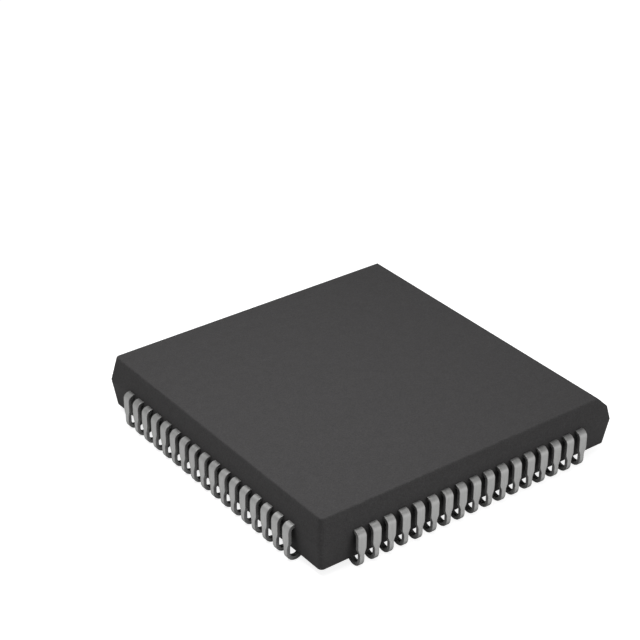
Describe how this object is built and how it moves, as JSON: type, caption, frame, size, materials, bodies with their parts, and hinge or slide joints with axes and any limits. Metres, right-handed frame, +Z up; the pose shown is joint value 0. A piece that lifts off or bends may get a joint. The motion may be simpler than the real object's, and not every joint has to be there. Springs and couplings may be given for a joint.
{
  "type": "plcc chip",
  "caption": "Square black moulded chip carrier with a bevelled top edge and rows of J-shaped tin-plated leads curled under all its sides.",
  "frame": {"origin": "middle of the seating plane, which the lowest points of the leads touch", "axes": "+Z up out of the top face, +X towards the bevelled side, +Y along the bevel"},
  "size_m": [0.0252, 0.0252, 0.0043],
  "materials": {
    "mould_compound": "charcoal moulding compound, fine spark-eroded grain",
    "tinned_lead": "matt tin plate with faint streaks down the lead",
    "copper_alloy": "bare stamped copper alloy",
    "attach_adhesive": "silver-filled adhesive",
    "silicon": "polished silicon",
    "gold_wire": "gold"
  },
  "bodies": {
    "root": {"mould_body": "mould_compound", "leads_front": "tinned_lead", "leads_right": "tinned_lead", "leads_back": "tinned_lead", "leads_left": "tinned_lead", "die_pad": "copper_alloy", "die_attach": "attach_adhesive", "silicon_die": "silicon", "bond_wires": "gold_wire"}
  },
  "joints": []
}
